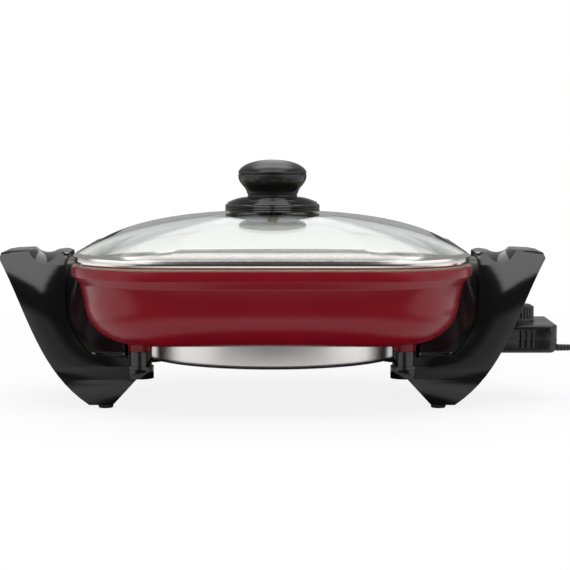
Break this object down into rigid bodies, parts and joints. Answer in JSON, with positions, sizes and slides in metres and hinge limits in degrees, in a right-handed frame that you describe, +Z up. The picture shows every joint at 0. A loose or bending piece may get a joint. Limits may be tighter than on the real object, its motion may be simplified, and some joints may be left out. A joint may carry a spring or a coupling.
{
  "type": "electric skillet",
  "caption": "Square electric skillet with rounded corners: cast pan on leg handles, domed glass lid with a knob, round heat reflector below and a plug-in heat control on a cord.",
  "frame": {"origin": "centre of the part's box without its cord, on the table; the pan's middle stands 4.75 mm to the left of it", "axes": "+Z up, X along the line through the two handles with the heat control at +X, -Y towards the viewer"},
  "size_m": [0.5813, 0.301, 0.19],
  "materials": {
    "red_enamel": "glossy red enamel outside, pale ceramic coating inside",
    "black_moulding": "glossy black phenolic",
    "clear_glass": "clear tempered glass",
    "rim_steel": "bright pressed steel",
    "brushed_steel": "satin",
    "bright_steel": "polished",
    "screw_steel": "zinc plated",
    "element_sheath": "heat-tinted",
    "ceramic": "unglazed ceramic",
    "contact_brass": "plain",
    "foot_rubber": "matte",
    "seal": "matte silicone",
    "cord_jacket": "satin flexible jacket",
    "clamp_plastic": "matte",
    "dial_grey": "satin grey"
  },
  "bodies": {
    "base": {"pan_body": "red_enamel", "heating_element": "element_sheath", "terminal_pins": "bright_steel", "terminal_insulators": "ceramic", "probe_sleeve": "bright_steel", "heat_reflector": "brushed_steel", "reflector_screws": "screw_steel", "handle_left": "black_moulding", "handle_right": "black_moulding", "handle_screws": "screw_steel", "foot_pads": "foot_rubber"},
    "lid": {"lid_glass": "clear_glass", "lid_rim": "rim_steel", "knob_gasket": "seal", "knob_flange": "black_moulding", "knob_body": "black_moulding", "knob_cap": "black_moulding", "knob_washer": "screw_steel", "knob_screw": "screw_steel"},
    "control": {"control_base": "black_moulding", "control_cover": "black_moulding", "control_screws": "screw_steel", "probe_rod": "bright_steel", "thermostat_frame": "screw_steel", "insulator_stack": "ceramic", "bimetal_blade": "contact_brass", "contact_arm": "contact_brass", "contact_sockets": "contact_brass", "cord_clamp": "clamp_plastic", "strain_relief": "cord_jacket", "cord_lead": "cord_jacket", "cord_coil": "cord_jacket", "cord_tail": "cord_jacket", "plug_body": "cord_jacket", "plug_pins": "bright_steel"},
    "dial": {"control_dial": "black_moulding", "dial_cap": "dial_grey", "dial_shaft": "screw_steel"}
  },
  "joints": [
    {"name": "lid_lift", "type": "slide", "parent": "base", "child": "lid", "axis": [0, 0, 1], "range_m": [0, 0.12]},
    {"name": "control_unplug", "type": "slide", "parent": "base", "child": "control", "axis": [1, 0, 0], "range_m": [0, 0.08]},
    {"name": "dial_turn", "type": "hinge", "parent": "control", "child": "dial", "pos_m": [0.18795, 0, 0.0685], "axis": [0, 0, 1], "range_deg": [-270, 0]}
  ]
}
